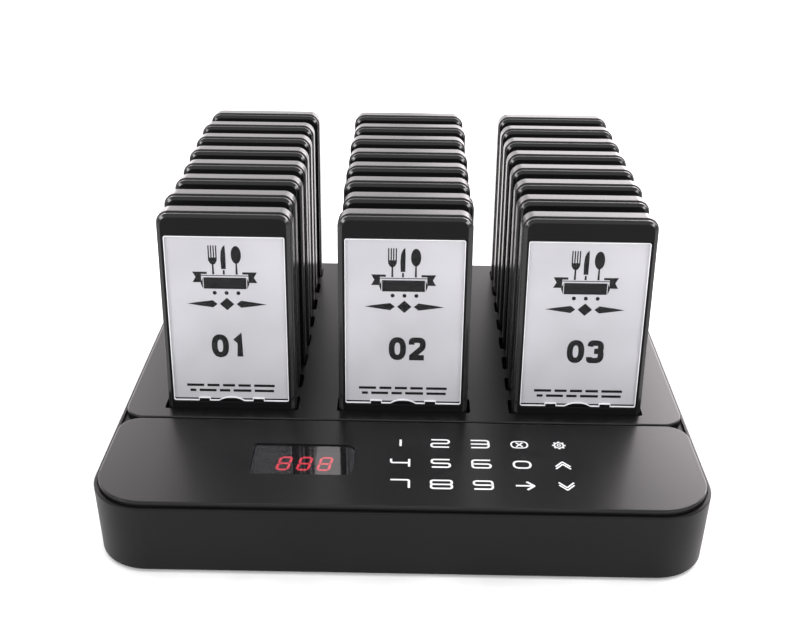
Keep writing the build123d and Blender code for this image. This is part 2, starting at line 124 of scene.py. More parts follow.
# Printed card, with heights above the pager's bottom
INK_THICKNESS = 0.015
ART_DROP = 1.1  # the printed pictures sit this much lower than drawn
NUMBER_BOTTOM = 36.5
NUMBER_SIZE = (8.2, 11.8)  # one numeral, over its stroke
NUMBER_STROKE = 2.8
NUMBER_PITCH = 9.25
NUMBER_LEFT = -7.0
NUMBER_SHIFTS = {1: -1.3, 2: -0.1, 3: 0.1}  # the front cards are not printed quite alike
LAYER = 0.003  # strokes that cross are printed this much apart in height
OVAL_STEPS = 40
OVAL_FULLNESS = 0.82  # 1 is an ellipse, less is squarer
FORK_ASIDE = 0.9  # how far the fork and the ribbon are printed from where they are drawn
RIBBON_ASIDE = -0.5
DASH_HALF = 0.65

# Key legends and digits
LEGEND_SIZE = (8.1, 5.9)
LEGEND_STROKE = 1.0
LEGEND_THICKNESS = 0.03
THIN_SHARE = 0.72  # the thin legends' stroke, as a share of the others'
TOUCH_SPRING_RADIUS = 4.0
GEAR_RADIUS = 2.1
GEAR_RIM = 0.7
GEAR_HUB_RADIUS = 0.75
GEAR_HUB_RIM = 0.5
GEAR_TEETH = 8
TOOTH_REACH = (0.3, 1.0)
TOOTH_WIDTH = 0.85
DIGIT_PITCH = 9.2
DIGIT_SIZE = (4.9, 9.6)
DIGIT_SLANT = 0.14
DIGIT_SHIFT = (0.4, 0.3)  # of the middle digit from the middle of the display module
DIGIT_THICKNESS = 0.05
SEGMENT_WIDTH = 1.2
SEGMENT_GAP = 0.18


# ---------------------------------------------------------------- camera, floor and light


def make_camera():
    camera = bpy.data.objects.new("camera", bpy.data.cameras.new("camera"))
    bpy.context.scene.collection.objects.link(camera)
    camera.data.lens = CAMERA_LENS
    camera.data.sensor_width = SENSOR_WIDTH
    camera.data.clip_start = 0.01
    aim = (
        Matrix.Rotation(CAMERA_HEADING, 4, "Z")
        @ Matrix.Rotation(radians(90) - CAMERA_PITCH, 4, "X")
        @ Matrix.Rotation(CAMERA_ROLL, 4, "Z")
    )
    camera.matrix_world = Matrix.Translation(CAMERA_PLACE) @ aim
    bpy.context.scene.camera = camera


def softbox(name, place, size, power, colour):
    """A large rectangular soft light that looks at the object."""
    lamp = bpy.data.lights.new(name, "AREA")
    lamp.shape = "RECTANGLE"
    lamp.size, lamp.size_y = size
    lamp.energy = power
    lamp.color = colour
    holder = bpy.data.objects.new(name, lamp)
    bpy.context.scene.collection.objects.link(holder)
    holder.location = place
    holder.rotation_mode = "QUATERNION"
    holder.rotation_quaternion = (Vector(LIGHT_TARGET) - Vector(place)).to_track_quat("-Z", "Y")
    holder.visible_camera = False


def make_studio():
    scene = bpy.context.scene
    scene.view_settings.view_transform = "Standard"
    world = bpy.data.worlds.new("studio")
    world.use_nodes = True
    background = world.node_tree.nodes["Background"]
    background.inputs["Color"].default_value = WORLD_COLOUR
    background.inputs["Strength"].default_value = WORLD_STRENGTH
    scene.world = world
    for light in LIGHTS:
        softbox(*light)


# ---------------------------------------------------------------- meshes


def finished(name, bm):
    """The bmesh as a mesh in metres, with flat faces that stay flat beside its rounded edges."""
    bmesh.ops.recalc_face_normals(bm, faces=bm.faces)
    bmesh.ops.scale(bm, vec=(MM, MM, MM), verts=bm.verts)
    rough = bpy.data.meshes.new(name + "_rough")
    bm.to_mesh(rough)
    bm.free()
    rough.shade_smooth()
    rough.set_sharp_from_angle(angle=SHARP_ANGLE)
    holder = bpy.data.objects.new(name, rough)
    bpy.context.scene.collection.objects.link(holder)
    mesh = applied(holder, name)
    bpy.data.meshes.remove(rough)
    return mesh


def applied(holder, name):
    """The mesh of an object with its modifiers and weighted normals applied. The object is removed."""
    weighted = holder.modifiers.new("weighted", "WEIGHTED_NORMAL")
    weighted.keep_sharp = True
    graph = bpy.context.evaluated_depsgraph_get()
    mesh = bpy.data.meshes.new_from_object(
        holder.evaluated_get(graph), preserve_all_data_layers=True, depsgraph=graph
    )
    mesh.name = name
    bpy.data.objects.remove(holder)
    return mesh


def ring(box, radius, inset, depth, steps=CORNER_STEPS):
    """A rounded rectangle (left, bottom, right, top) drawn in by the inset, across Y at that depth."""
    left, bottom, right, top = box[0] + inset, box[1] + inset, box[2] - inset, box[3] - inset
    r = max(radius - inset, 0.1)
    corners = (
        (right - r, top - r),
        (left + r, top - r),
        (left + r, bottom + r),
        (right - r, bottom + r),
    )
    points = []
    for quarter, (x, z) in enumerate(corners):
        for step in range(steps + 1):
            angle = (quarter + step / steps) * pi / 2
            points.append((x + r * cos(angle), depth, z + r * sin(angle)))
    return points


def stack(bm, rings, finishes=()):
    """Adds a closed solid that runs through rings of equal length.

    finishes numbers the material of each band between two rings. Bands past its end take the first.
    """
    levels = [[bm.verts.new(point) for point in one] for one in rings]
    count = len(levels[0])
    bm.faces.new(levels[0])
    for band, (lower, upper) in enumerate(zip(levels, levels[1:])):
        for i in range(count):
            j = (i + 1) % count
            face = bm.faces.new((lower[i], lower[j], upper[j], upper[i]))
            face.material_index = finishes[band] if band < len(finishes) else 0
    bm.faces.new(levels[-1])


def raised(point, level, axis):
    """A point of a flat drawing at a level along Z, or along Y for a drawing on a pager's face."""
    return (point[0], point[1], level) if axis == "Z" else (point[0], level, point[1])


def prism(bm, outline, start, end, axis="Z"):
    """Adds a closed prism over a flat outline."""
    lower = [bm.verts.new(raised(point, start, axis)) for point in outline]
    upper = [bm.verts.new(raised(point, end, axis)) for point in outline]
    bm.faces.new(lower)
    bm.faces.new(upper)
    for i in range(len(outline)):
        j = (i + 1) % len(outline)
        bm.faces.new((lower[i], lower[j], upper[j], upper[i]))


def softened(points, radius, closed=False, steps=6):
    """The line through the points with its corners rounded. A point's third number is its own radius."""
    count = len(points)
    line = []
    for i, corner in enumerate(points):
        here = Vector(corner[:2])
        bend = corner[2] if len(corner) > 2 else radius
        if not bend or (not closed and i in (0, count - 1)):
            line.append(tuple(here))
            continue
        before = Vector(points[i - 1][:2]) - here
        after = Vector(points[(i + 1) % count][:2]) - here
        half_turn = before.angle(after) / 2
        wanted = bend * cos(half_turn) / max(sin(half_turn), 0.01)
        reach = min(wanted, before.length / 2, after.length / 2)
        start, end = here + before.normalized() * reach, here + after.normalized() * reach
        for step in range(steps + 1):
            t = step / steps
            line.append(tuple(start * (1 - t) ** 2 + here * (2 * t * (1 - t)) + end * t**2))
    return line


def stroke(bm, line, width, start, end, closed=False, axis="Z"):
    """Adds a flat stroke of even width along a line, as one closed solid."""
    count = len(line)
    sides = ([], [])
    for i, point in enumerate(line):
        before = line[i - 1] if i or closed else point
        after = line[(i + 1) % count] if i < count - 1 or closed else point
        first = Vector(point) - Vector(before)
        second = Vector(after) - Vector(point)
        first = first.normalized() if first.length else second.normalized()
        second = second.normalized() if second.length else first
        along = (first + second).normalized()
        normal = Vector((-along.y, along.x))
        widening = 1 / max(normal.dot(Vector((-first.y, first.x))), 0.5)
        for side, way in zip(sides, (1, -1)):
            side.append(Vector(point) + normal * way * width / 2 * widening)
    left_low, left_high, right_low, right_high = (
        [bm.verts.new(raised(point, level, axis)) for point in side]
        for side in sides
        for level in (start, end)
    )
    loops = (
        (left_low, right_low),
        (left_high, right_high),
        (left_low, left_high),
        (right_low, right_high),
    )
    for i in range(count if closed else count - 1):
        j = (i + 1) % count
        for a, b in loops:
            bm.faces.new((a[i], a[j], b[j], b[i]))
    if not closed:
        for i in (0, -1):
            bm.faces.new((left_low[i], left_high[i], right_high[i], right_low[i]))


def disc(x, y, radius, steps=24):
    angles = [2 * pi * i / steps for i in range(steps)]
    return [(x + radius * cos(angle), y + radius * sin(angle)) for angle in angles]


def rectangle(left, bottom, right, top):
    return [(left, bottom), (right, bottom), (right, top), (left, top)]


# ---------------------------------------------------------------- materials

SLOW_PATTERN = 30.0  # features per metre
SHADE_CHANGE = 0.08
GLOSS_CHANGE = 0.04


def shader(name):
    """A new material, its nodes, its links and its Principled shader."""
    material = bpy.data.materials.new(name)
    material.use_nodes = True
    tree = material.node_tree
    return material, tree.nodes, tree.links, tree.nodes["Principled BSDF"]


def cloud(tree_nodes, links, place, scale, detail=2.0):
    """A noise pattern of that many features per metre."""
    noise = tree_nodes.new("ShaderNodeTexNoise")
    noise.inputs["Scale"].default_value = scale
    noise.inputs["Detail"].default_value = detail
    links.new(place, noise.inputs["Vector"])
    return noise.outputs["Fac"]


def spread(tree_nodes, links, value, low, high):
    """The value, which lies between 0.3 and 0.7, spread from low to high."""
    scaled = tree_nodes.new("ShaderNodeMapRange")
    scaled.inputs["From Min"].default_value = 0.3
    scaled.inputs["From Max"].default_value = 0.7
    scaled.inputs["To Min"].default_value = low
    scaled.inputs["To Max"].default_value = high
    links.new(value, scaled.inputs["Value"])
    return scaled.outputs["Result"]


def tinted(tree_nodes, links, value, dark, light):
    """A colour between two, by a value between 0.3 and 0.7."""
    ramp = tree_nodes.new("ShaderNodeValToRGB")
    ramp.color_ramp.elements[0].position = 0.3
    ramp.color_ramp.elements[1].position = 0.7
    ramp.color_ramp.elements[0].color = (*dark, 1.0)
    ramp.color_ramp.elements[1].color = (*light, 1.0)
    links.new(value, ramp.inputs["Fac"])
    return ramp.outputs["Color"]


def surface(name, colour, roughness, grain=4000.0, depth=0.01, metallic=0.0, specular=0.5):
    """A finish with slow changes of shade, a fine grain that changes the gloss, and the grain's relief.

    grain counts its features per metre, and depth is their height in millimetres.
    """
    material, tree_nodes, links, bsdf = shader(name)
    place = tree_nodes.new("ShaderNodeTexCoord").outputs["Object"]
    slow = cloud(tree_nodes, links, place, SLOW_PATTERN)
    fine = cloud(tree_nodes, links, place, grain, detail=3.0)
    dark = [c * (1 - SHADE_CHANGE) for c in colour]
    light = [min(c * (1 + SHADE_CHANGE), 1.0) for c in colour]
    links.new(tinted(tree_nodes, links, slow, dark, light), bsdf.inputs["Base Color"])
    gloss = spread(tree_nodes, links, fine, roughness - GLOSS_CHANGE, roughness + GLOSS_CHANGE)
    links.new(gloss, bsdf.inputs["Roughness"])
    bump = tree_nodes.new("ShaderNodeBump")
    bump.inputs["Distance"].default_value = depth * MM
    bump.inputs["Strength"].default_value = 1.0
    links.new(fine, bump.inputs["Height"])
    links.new(bump.outputs["Normal"], bsdf.inputs["Normal"])
    bsdf.inputs["Metallic"].default_value = metallic
    bsdf.inputs["Specular IOR Level"].default_value = specular
    return material


def see_through(name, tint, roughness, least, most, specular=0.5):
    """A clear or smoked pane: what is behind it, tinted, under a gloss.

    least and most are the gloss's share in a straight and in a grazing view.
    """
    material, tree_nodes, links, bsdf = shader(name)
    place = tree_nodes.new("ShaderNodeTexCoord").outputs["Object"]
    fine = cloud(tree_nodes, links, place, 60.0)
    gloss = spread(tree_nodes, links, fine, roughness * 0.8, roughness * 1.2)
    links.new(gloss, bsdf.inputs["Roughness"])
    shade = tinted(tree_nodes, links, fine, (0.010, 0.010, 0.011), (0.014, 0.014, 0.015))
    links.new(shade, bsdf.inputs["Base Color"])
    bsdf.inputs["Specular IOR Level"].default_value = specular
    clear = tree_nodes.new("ShaderNodeBsdfTransparent")
    clear.inputs["Color"].default_value = (*tint, 1.0)
    facing = tree_nodes.new("ShaderNodeLayerWeight")
    facing.inputs["Blend"].default_value = 0.35
    share = tree_nodes.new("ShaderNodeMapRange")
    share.inputs["To Min"].default_value = least
    share.inputs["To Max"].default_value = most
    links.new(facing.outputs["Facing"], share.inputs["Value"])
    mix = tree_nodes.new("ShaderNodeMixShader")
    links.new(share.outputs["Result"], mix.inputs["Fac"])
    links.new(clear.outputs["BSDF"], mix.inputs[1])
    links.new(bsdf.outputs["BSDF"], mix.inputs[2])
    links.new(mix.outputs["Shader"], tree_nodes["Material Output"].inputs["Surface"])
    return material


def lit(name, colour, strength):
    """Glowing red segments whose glow is a little uneven from place to place."""
    material, tree_nodes, links, bsdf = shader(name)
    place = tree_nodes.new("ShaderNodeTexCoord").outputs["Object"]
    glow = cloud(tree_nodes, links, place, 700.0)
    shade = tinted(tree_nodes, links, glow, [c * 0.85 for c in colour], colour)
    links.new(shade, bsdf.inputs["Emission Color"])
    bsdf.inputs["Emission Strength"].default_value = strength
    bsdf.inputs["Base Color"].default_value = (0.2, 0.01, 0.02, 1.0)
    bsdf.inputs["Roughness"].default_value = 0.4
    return material


FINISHES = {
    "base_plastic": surface("base_plastic", (0.0045, 0.0045, 0.0047), 0.42, depth=0.012, specular=0.14),
    "panel_plastic": surface("panel_plastic", (0.004, 0.0039, 0.0039), 0.32, depth=0.003, specular=0.26),
    "inner_plastic": surface("inner_plastic", (0.008, 0.008, 0.008), 0.5, specular=0.3),
    "pager_plastic": surface("pager_plastic", (0.012, 0.012, 0.0125), 0.28, depth=0.002, specular=0.5),
    "smoked_window": see_through("smoked_window", (0.60, 0.57, 0.58), 0.05, 0.45, 0.95, specular=0.95),
    "clear_window": see_through("clear_window", (0.985, 0.985, 0.99), 0.04, 0.02, 0.5),
    "label_card": surface(
        "label_card", (0.64, 0.636, 0.66), 0.55, grain=1500.0, depth=0.004, specular=0.3
    ),
    "display_module": surface("display_module", (0.012, 0.009, 0.009), 0.35),
    "circuit_board": surface("circuit_board", (0.015, 0.09, 0.04), 0.35, grain=900.0),
    "battery_foil": surface("battery_foil", (0.55, 0.56, 0.58), 0.3, metallic=0.8, grain=400.0),
    "spring_steel": surface("spring_steel", (0.60, 0.60, 0.62), 0.25, metallic=1.0),
    "shield_can": surface("shield_can", (0.62, 0.62, 0.64), 0.32, metallic=1.0),
    "gold_contact": surface("gold_contact", (0.80, 0.58, 0.25), 0.22, metallic=1.0),
    "screw_steel": surface("screw_steel", (0.32, 0.32, 0.33), 0.35, metallic=1.0),
    "rubber": surface("rubber", (0.014, 0.014, 0.014), 0.75, grain=2500.0, depth=0.03, specular=0.3),
}
# the pager's face and label bay: a darker, less glossy copy of the casing plastic, painted shade for the little
# light that falls on the front
front_face_painted_shade = surface("front_face_painted_shade", (0.0045, 0.0045, 0.005), 0.36, depth=0.004, specular=0.09)
chamfer_plastic = surface("chamfer_plastic", (0.006, 0.006, 0.0063), 0.14, depth=0.002, specular=0.4)
# white on the clear cover's bevelled edges: a painted highlight along the edge of the clear plastic
window_edge_painted_highlight = surface("window_edge_painted_highlight", (0.90, 0.90, 0.92), 0.3, grain=900.0, specular=0.6)
ink = surface("ink", (0.005, 0.005, 0.006), 0.5, grain=2500.0, depth=0.002, specular=0.25)
legend_white = surface("legend_white", (0.86, 0.86, 0.87), 0.5, grain=2500.0, depth=0.002)
digit_red = lit("digit_red", (1.0, 0.07, 0.115), 14.0)


def wear_record_finishes():
    """Every carried-over CAD node takes the finish of its material slot."""
    for part in frame["record"]["subparts"]:
        node = nodes[part["node"]]
        node.data.materials.clear()
        node.data.materials.append(FINISHES[part["material_slot"]])


# ---------------------------------------------------------------- pieces of the object


def add_piece(name, mesh, body, finishes, home=None, replaces=()):
    """Places one piece on its CAD body. A mesh that pieces share takes its finishes only once."""
    piece = bpy.data.objects.new(name, mesh)
    bpy.context.scene.collection.objects.link(piece)
    if not mesh.materials:
        for finish in finishes:
            mesh.materials.append(finish)
    if home is not None:
        piece.matrix_world = home
    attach(piece, body)
    if replaces:
        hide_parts(*replaces)


lift_axis = next(joint["axis"] for joint in frame["joints"] if joint["name"] == "pager_01_lift")
LEAN = Matrix.Rotation(-atan2(lift_axis[1], lift_axis[2]), 4, "X")


def extent(node_names, home):
    """Lowest and highest corner of CAD nodes in a pager's own frame, in millimetres."""
    back = home.inverted()
    points = [back @ vertex.co for name in node_names for vertex in nodes[name].data.vertices]
    low = Vector([min(point[i] for point in points) for i in range(3)])
    high = Vector([max(point[i] for point in points) for i in range(3)])
    return low / MM, high / MM


def home_of(pager):
    """A pager's own frame: from the middle of its bottom, X across it, Y out of its back and Z up it."""
    casing = [f"{pager}_rear_shell", f"{pager}_front_shell"] if pager in FRONT_ROW else [pager]
    low, high = extent(casing, LEAN)
    middle = Vector(((low.x + high.x) / 2, (low.y + high.y) / 2, low.z))
    return LEAN @ Matrix.Translation(middle * MM)


homes = {pager: home_of(pager) for pager in PAGERS}
first_home = homes["pager_01"]
rear_low, rear_high = extent(["pager_01_rear_shell"], first_home)
front_low = extent(["pager_01_front_shell"], first_home)[0]
card_low, card_high = extent(["pager_01_label_card"], first_home)
window_low, window_high = extent(["pager_01_label_window"], first_home)
CASING = (rear_low.x, rear_low.z, rear_high.x, rear_high.z)
SEAM = rear_low.y
BACK = rear_high.y
FACE = front_low.y
BAY_FLOOR = FACE + BAY_DEPTH
BAY = (
    window_low.x - WINDOW_PLAY,
    window_low.z - WINDOW_PLAY,
    window_high.x + WINDOW_PLAY,
    window_high.z + WINDOW_PLAY,
)


def rear_shell_mesh():
    """The deep shell: a tub with a label recess, a rounded back edge, an eased rim and contact holes."""
    recess_floor = BACK - BACK_RECESS_DEPTH
    rings = [
        ring(BACK_RECESS, BACK_RECESS_RADIUS, BACK_RECESS_EASE, recess_floor),
        ring(BACK_RECESS, BACK_RECESS_RADIUS, 0.0, recess_floor + BACK_RECESS_DEPTH / 2),
        ring(BACK_RECESS, BACK_RECESS_RADIUS, 0.0, BACK),
        ring(CASING, PAGER_RADIUS, BACK_ROUNDING, BACK),
    ]
    for step in range(1, ROUNDING_STEPS + 1):
        angle = step / ROUNDING_STEPS * pi / 2
        inset = BACK_ROUNDING * (1 - sin(angle))
        rings.append(ring(CASING, PAGER_RADIUS, inset, BACK - BACK_ROUNDING * (1 - cos(angle))))
    rings += [
        ring(CASING, PAGER_RADIUS, 0.0, SEAM + RIM_EASE),
        ring(CASING, PAGER_RADIUS, RIM_EASE_MIDDLE, SEAM + RIM_EASE_MIDDLE),
        ring(CASING, PAGER_RADIUS, RIM_EASE, SEAM),
        ring(CASING, PAGER_RADIUS, SHELL_WALL, SEAM),
        ring(CASING, PAGER_RADIUS, SHELL_WALL, BACK - SHELL_WALL),
    ]
    bm = bmesh.new()
    stack(bm, rings)
    return cut(finished("pager_rear_shell", bm), contact_places(*CONTACT_HOLE), *CONTACT_HOLE_HEIGHTS)


def contact_places(width, depth):
    return [
        rectangle(middle - width / 2, -depth / 2, middle + width / 2, depth / 2)
        for middle in (-CONTACT_OFFSET, CONTACT_OFFSET)
    ]


def cut(mesh, outlines, start, end):
    """The mesh with upright prisms cut out of it."""
    tool = bmesh.new()
    for outline in outlines:
        prism(tool, outline, start, end)
    cutter = bpy.data.objects.new("cutter", finished("cutter", tool))
    holder = bpy.data.objects.new("holder", mesh)
    for one in (cutter, holder):
        bpy.context.scene.collection.objects.link(one)
    boolean = holder.modifiers.new("cut", "BOOLEAN")
    boolean.operation = "DIFFERENCE"
    boolean.solver = "EXACT"
    boolean.object = cutter
    result = applied(holder, mesh.name)
    result.materials.clear()
    bpy.data.objects.remove(cutter)
    return result


def front_shell_mesh():
    """The shallow shell: eased edges, a face with the label bay, and two clips that hold the window."""
    along, deep = FACE_CHAMFER
    # inset from the step and depth of each ring: into the seam, the side, the chamfer and the face
    profile = (
        (0.8, SEAM),
        (0.3, SEAM - 0.15),
        (0.0, SEAM - 0.45),
        (0.0, FACE + deep + 0.15),
        (0.05, FACE + deep - 0.03),
        (0.2, FACE + deep - 0.13),
        (along - 0.25, FACE + 0.11),
        (along + 0.05, FACE + 0.02),
        (along + 0.2, FACE),
    )
    rings = [ring(CASING, PAGER_RADIUS, SHELL_STEP + inset, depth) for inset, depth in profile]
    rings += [
        ring(BAY, BAY_RADIUS + BAY_EDGE_EASE, -BAY_EDGE_EASE, FACE),
        ring(BAY, BAY_RADIUS, 0.0, FACE + 0.2),
        ring(BAY, BAY_RADIUS, 0.0, BAY_FLOOR),
    ]
    bm = bmesh.new()
    # the seam and side bands take the casing's finish, the chamfer bands the glossy one, and the face and bay the
    # darker copy painted as shade
    stack(bm, rings, finishes=(1, 1, 1, 1, 1, 2, 2))
    half = CLIP_NOTCH[0] / 2 - CLIP_PLAY
    for middle in (-CLIP_OFFSET, CLIP_OFFSET):
        outline = rectangle(middle - half, BAY[1] + 0.01, middle + half, BAY[1] + CLIP_HEIGHT)
        prism(bm, outline, BAY_FLOOR - 0.01, FACE + 0.3, axis="Y")
    return finished("pager_front_shell", bm)


def card_mesh():
    box = (card_low.x, card_low.z, card_high.x, card_high.z)
    bm = bmesh.new()
    stack(bm, [ring(box, 0.5, 0.0, depth, steps=3) for depth in (card_low.y, card_high.y)])
    return finished("pager_card", bm)


def window_mesh():
    """The clear cover: bevelled all round, with a thumb notch and two clip notches in its lower edge."""
    left, bottom, right, top = window_low.x, window_low.z, window_high.x, window_high.z
    width, height = THUMB_NOTCH
    notch_radius = (width**2 / 4 + height**2) / (2 * height)
    spread_angle = atan2(width / 2, notch_radius - height)
    angles = [spread_angle * (i / THUMB_STEPS - 1) for i in range(2 * THUMB_STEPS + 1)]
    thumb_middle = bottom + height - notch_radius
    thumb = [(notch_radius * sin(a), thumb_middle + notch_radius * cos(a)) for a in angles]
    half = CLIP_NOTCH[0] / 2
    up = bottom + CLIP_NOTCH[1]
    notches = [
        [(middle - half, bottom), (middle - half, up), (middle + half, up), (middle + half, bottom)]
        for middle in (-CLIP_OFFSET, CLIP_OFFSET)
    ]
    ease = WINDOW_EASE
    outline = [(left + ease, bottom), *notches[0], *thumb, *notches[1], (right - ease, bottom)]
    outline += [(right, bottom + ease), (right, top - ease), (right - ease, top)]
    outline += [(left + ease, top), (left, top - ease), (left, bottom + ease)]
    bm = bmesh.new()
    prism(bm, outline, window_low.y, window_high.y, axis="Y")
    bmesh.ops.recalc_face_normals(bm, faces=bm.faces)
    rims = [edge for edge in bm.edges if abs(edge.verts[0].co.y - edge.verts[1].co.y) < 0.01]
    bmesh.ops.bevel(bm, geom=rims, offset=WINDOW_BEVEL, segments=2, profile=0.5, affect="EDGES")
    # the flat faces take the clear finish, and the bevelled edges take the white one as a painted highlight
    for face in bm.faces:
        face.material_index = 0 if abs(face.normal.y) > 0.99 else 1
    return finished("pager_window", bm)


def contact_mesh():
    """The two plated charging contacts in the pager's bottom."""
    bm = bmesh.new()
    for outline in contact_places(*CONTACT_SIZE):
        prism(bm, outline, CONTACT_FLOOR, SHELL_WALL)
    return finished("pager_contacts", bm)


# ---------------------------------------------------------------- what is printed on the card


def card_art_mesh():
    """A plain table set of fork, knife and spoon over a ribbon, a divider, and two rows of dashes."""
    start, end = card_low.y, card_low.y - INK_THICKNESS
    bm = bmesh.new()

    def area(points, aside=0.0):
        prism(bm, [(x + aside, z - ART_DROP) for x, z in points], start, end, axis="Y")

    def mirrored(points, aside=0.0):
        area(points, aside)
        area([(-x, z) for x, z in points], aside)

    # fork
    for tine in range(4):
        x = -8.35 + tine * 1.15
        area(rectangle(x - 0.3, 87.0, x + 0.3, 93.4), FORK_ASIDE)
    fork_left = [(-8.65, 87.6), (-8.6, 86.2), (-7.9, 84.8), (-7.1, 84.2)]
    fork_right = [(-6.15, 84.2), (-5.35, 84.8), (-4.65, 86.2), (-4.6, 87.6)]
    area(fork_left + fork_right, FORK_ASIDE)
    area([(-7.0, 84.3), (-7.1, 79.4), (-6.15, 79.4), (-6.25, 84.3)], FORK_ASIDE)
    # knife
    blade_back = [(-1.9, 82.0), (-2.1, 87.0), (-1.8, 90.6), (-1.0, 92.6), (0.1, 93.7)]
    area(blade_back + [(0.3, 89.6), (0.25, 82.0)])
    area([(-1.2, 81.5), (-1.3, 79.4), (-0.3, 79.4), (-0.4, 81.5)])
    # spoon
    area([(5.1 + 2.35 * cos(a), 89.0 + 4.3 * sin(a)) for a in [i * pi / 14 for i in range(28)]])
    area([(4.75, 84.7), (4.6, 79.4), (5.6, 79.4), (5.45, 84.7)])
    # ribbon: the front band, its tails and the folds between them
    area(rectangle(-9.9, 72.3, 9.9, 77.9), RIBBON_ASIDE)
    area(rectangle(-10.9, 78.6, 10.9, 79.0), RIBBON_ASIDE)
    tail = [(10.9, 75.4), (15.0, 75.4), (13.5, 78.0), (15.0, 80.6), (8.2, 80.6)]
    mirrored(tail + [(8.2, 79.5), (10.9, 79.5)], RIBBON_ASIDE)
    mirrored([(10.25, 72.3), (11.3, 74.9), (10.25, 77.7)], RIBBON_ASIDE)
    # three dots under the ribbon
    for x in (-5.5, 0.0, 5.5):
        area(disc(x, 70.3, 0.95))
    # divider: a lozenge between tapering bars
    area([(-3.4, 64.8), (0.0, 61.7), (3.4, 64.8), (0.0, 67.9)])
    mirrored([(4.4, 64.8), (6.6, 63.0), (13.0, 63.9), (18.6, 64.8), (13.0, 65.7), (6.6, 66.6)])
    # two rows of dashes
    for z, dashes in (
        (22.9, ((-21.2, -13.0), (-11.4, -5.6), (-4.0, 1.8), (3.4, 9.4), (11.0, 20.9))),
        (20.2, ((-19.8, -16.9), (-15.3, -7.2), (-5.6, -0.6), (1.0, 9.6), (11.2, 20.5))),
    ):
        for left, right in dashes:
            area(rectangle(left, z - DASH_HALF, right, z + DASH_HALF))
    return finished("card_art", bm)


def oval_point(angle):
    """A point of an oval in a unit square."""
    across, up = (abs(f(angle)) ** OVAL_FULLNESS * (1 if f(angle) > 0 else -1) for f in (cos, sin))
    return (0.5 + across / 2, 0.5 + up / 2)


OVAL = [oval_point(2 * pi * (i + 0.5) / OVAL_STEPS) for i in range(OVAL_STEPS)]
SIX = [
    ([(0, 0.6, 2.4), (1, 0.6, 2.4), (1, 0, 2.4), (0, 0, 2.4)], True),
    ([(0.88, 0.97), (0, 1, 3.5), (0, 0.3)], False),
]
FIVE_TOP = [(0.92, 1), (0.12, 1), (0.08, 0.56), (0.55, 0.62)]
FIVE_BOWL = [(1, 0.6, 2.6), (1, 0, 2.8), (0, 0, 2.6), (0, 0.18)]
# each numeral: lines in a unit square, with corner radii in millimetres, and whether each is closed
NUMERALS = {
    "0": [(OVAL, True)],
    "1": [([(0.12, 0.76), (0.5, 1), (0.5, -0.1)], False)],
    "2": [
        ([(0.03, 0.74), (0.03, 1, 3), (1, 1, 3), (1, 0.58, 2.5), (0, 0.02)], False),
        ([(-0.18, 0), (1.12, 0)], False),
    ],
    "3": [
        ([(0.03, 0.8), (0.1, 1, 2.5), (0.97, 1, 2.5), (0.97, 0.53, 2.2), (0.4, 0.53)], False),
        ([(0.4, 0.53), (1, 0.53, 2.4), (1, 0, 2.6), (0, 0, 2.6), (0, 0.2)], False),
    ],
    "4": [
        ([(0.68, 1.05), (0.02, 0.3)], False),
        ([(-0.14, 0.27), (1.16, 0.27)], False),
        ([(0.72, 1.1), (0.72, -0.1)], False),
    ],
    "5": [(FIVE_TOP + FIVE_BOWL, False)],
    "6": SIX,
    "7": [([(-0.14, 1), (1.14, 1)], False), ([(0.98, 0.99), (0.35, -0.09)], False)],
    "8": [
        ([(0.07, 1, 2.1), (0.93, 1, 2.1), (0.93, 0.54, 2.1), (0.07, 0.54, 2.1)], True),
        ([(0, 0.54, 2.4), (1, 0.54, 2.4), (1, 0, 2.4), (0, 0, 2.4)], True),
    ],
    "9": [([(1 - x, 1 - y, *radius) for x, y, *radius in line], closed) for line, closed in SIX],
}


def number_mesh(number):
    """The pager's two-figure number, as thin ink on the card."""
    width, height = (size - NUMBER_STROKE for size in NUMBER_SIZE)
    foot = NUMBER_BOTTOM + NUMBER_STROKE / 2
    start = NUMBER_LEFT + NUMBER_SHIFTS.get(number, 0.0) + NUMBER_STROKE / 2
    bm = bmesh.new()
    for place, digit in enumerate(f"{number:02d}"):
        left = start + place * NUMBER_PITCH
        for layer, (points, closed) in enumerate(NUMERALS[digit]):
            corners = [(left + x * width, foot + y * height, *radius) for x, y, *radius in points]
            line = softened(corners, 0.0, closed)
            top = card_low.y - INK_THICKNESS - layer * LAYER
            stroke(bm, line, NUMBER_STROKE, card_low.y, top, closed, axis="Y")
    return finished(f"card_number_{number:02d}", bm)


# ---------------------------------------------------------------- pagers


def dress_pagers():
    """Gives every pager its shells, card, print and window. The pieces that are alike share a mesh."""
    rear, front, card, window = rear_shell_mesh(), front_shell_mesh(), card_mesh(), window_mesh()
    contacts, art = contact_mesh(), card_art_mesh()
    casing = FINISHES["pager_plastic"]
    for number, pager in enumerate(PAGERS, start=1):
        home = homes[pager]
        split = pager in FRONT_ROW

        def add(part, mesh, finishes, body=pager, in_cad=True):
            cad = [f"{pager}_{part}" if split else pager] if in_cad else []
            add_piece(f"{pager}_{part}_look", mesh, body, finishes, home, cad)

        add("rear_shell", rear, [casing])
        add("front_shell", front, [front_face_painted_shade, casing, chamfer_plastic])
        add("label_card", card, [FINISHES["label_card"]])
        add("card_art", art, [ink], in_cad=False)
        add("card_number", number_mesh(number), [ink], in_cad=False)
        glazing = [FINISHES["clear_window"], window_edge_painted_highlight]
        add("label_window", window, glazing, f"{pager}_window" if split else pager)
        if not split:
            add("contacts", contacts, [FINISHES["gold_contact"]], in_cad=False)


# ---------------------------------------------------------------- legends and digits on the base

SNAKE = [(0, 1), (1, 1), (1, 0.5), (0, 0.5), (0, 0), (1, 0)]
UPPER_LOOP = [(-0.06, 1), (1.06, 1), (1.06, 0.5), (-0.06, 0.5)]
LOWER_LOOP = [(-0.06, 0.5), (1.06, 0.5), (1.06, 0), (-0.06, 0)]
WHOLE_LOOP = [(0.04, 0.94), (0.96, 0.94), (0.96, 0.06), (0.04, 0.06)]
